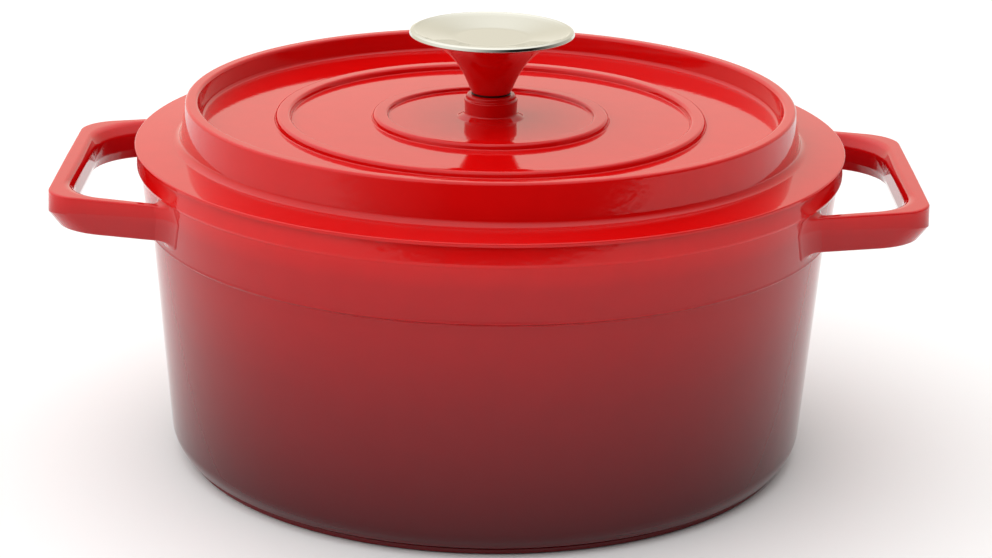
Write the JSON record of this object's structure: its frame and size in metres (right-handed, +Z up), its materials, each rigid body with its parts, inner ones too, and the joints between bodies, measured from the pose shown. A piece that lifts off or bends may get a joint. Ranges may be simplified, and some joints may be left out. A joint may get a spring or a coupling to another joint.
{
  "type": "dutch oven",
  "caption": "Round enamelled cast iron dutch oven with loop handles and a flanged, ringed lid that lifts off by a flared steel-capped knob.",
  "frame": {"origin": "centre of the base, on the surface that the pot stands on", "axes": "+Z up along the pot's axis, +X towards one handle, -Y to the front"},
  "size_m": [0.314, 0.26, 0.1579],
  "materials": {
    "bare_iron": "matte, fine sand-cast grain",
    "shaded_red_enamel": "gloss, bright red at the rim fading to maroon at the base",
    "cream_enamel": "gloss",
    "red_enamel": "gloss",
    "black_gasket": "matte",
    "knob_red": "gloss",
    "brass_bush": "machined",
    "polished_steel": "polished, with a finely turned dish",
    "zinc_steel": "zinc plated"
  },
  "bodies": {
    "pot": {"pot_casting": "bare_iron", "pot_outer_enamel": "shaded_red_enamel", "pot_inner_enamel": "cream_enamel"},
    "lid": {"lid_casting": "bare_iron", "lid_outer_enamel": "red_enamel", "lid_inner_enamel": "cream_enamel", "knob_gasket": "black_gasket", "knob_body": "knob_red", "knob_bush": "brass_bush", "knob_cap": "polished_steel", "knob_screw": "zinc_steel", "spring_washer": "zinc_steel", "flat_washer": "zinc_steel"}
  },
  "joints": [
    {"name": "lid_lift", "type": "slide", "parent": "pot", "child": "lid", "axis": [0, 0, 1], "range_m": [0, 0.2]}
  ]
}
